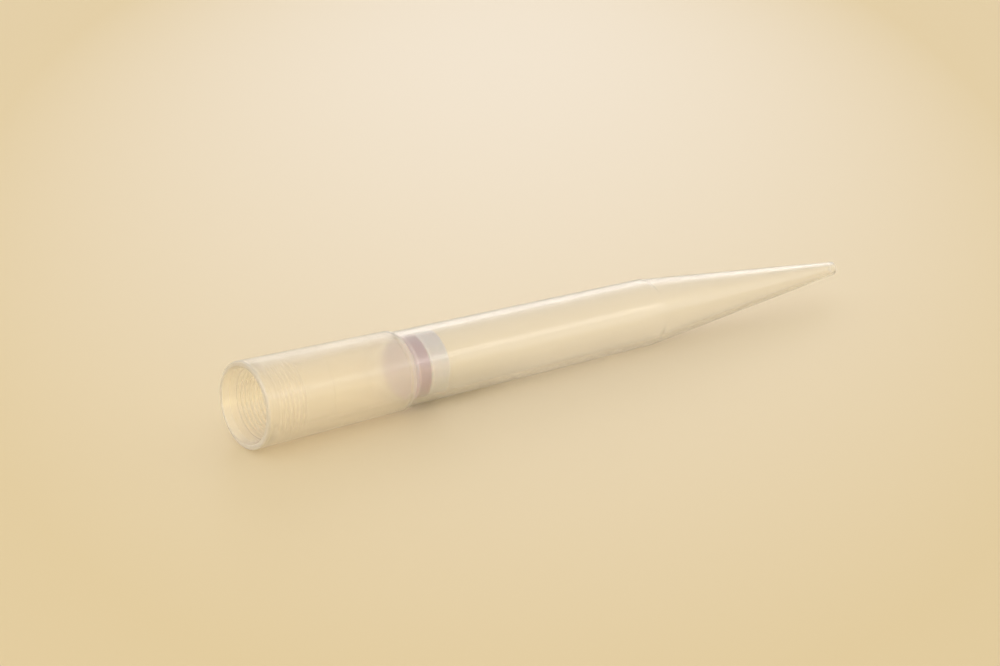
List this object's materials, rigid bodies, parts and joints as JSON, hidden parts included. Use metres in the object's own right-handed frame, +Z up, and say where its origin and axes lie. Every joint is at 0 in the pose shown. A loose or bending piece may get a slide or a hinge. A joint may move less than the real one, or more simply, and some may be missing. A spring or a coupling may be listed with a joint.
{
  "type": "filter pipette tip",
  "caption": "Long translucent pipette tip with a plain collar, a layered filter plug in its bore, a cylindrical body and a long conical nozzle, lying on its side.",
  "frame": {"origin": "on the surface the tip lies on, under the middle of its length", "axes": "+X along the tip towards its point, +Z up; the tip's own axis leans 0.66 degrees down towards the point, because it lies on its rim and its shoulder"},
  "size_m": [0.076, 0.0078, 0.0078],
  "materials": {
    "clear_polypropylene": "natural translucent polypropylene, moulded smooth, slightly hazy",
    "filter_lavender": "sintered polyethylene granules, lavender, matt and porous",
    "filter_white": "sintered polyethylene granules, near white with a blue cast, matt and porous"
  },
  "bodies": {
    "root": {"tip_body": "clear_polypropylene", "filter_front_layer": "filter_lavender", "filter_back_layer": "filter_white"}
  },
  "joints": []
}
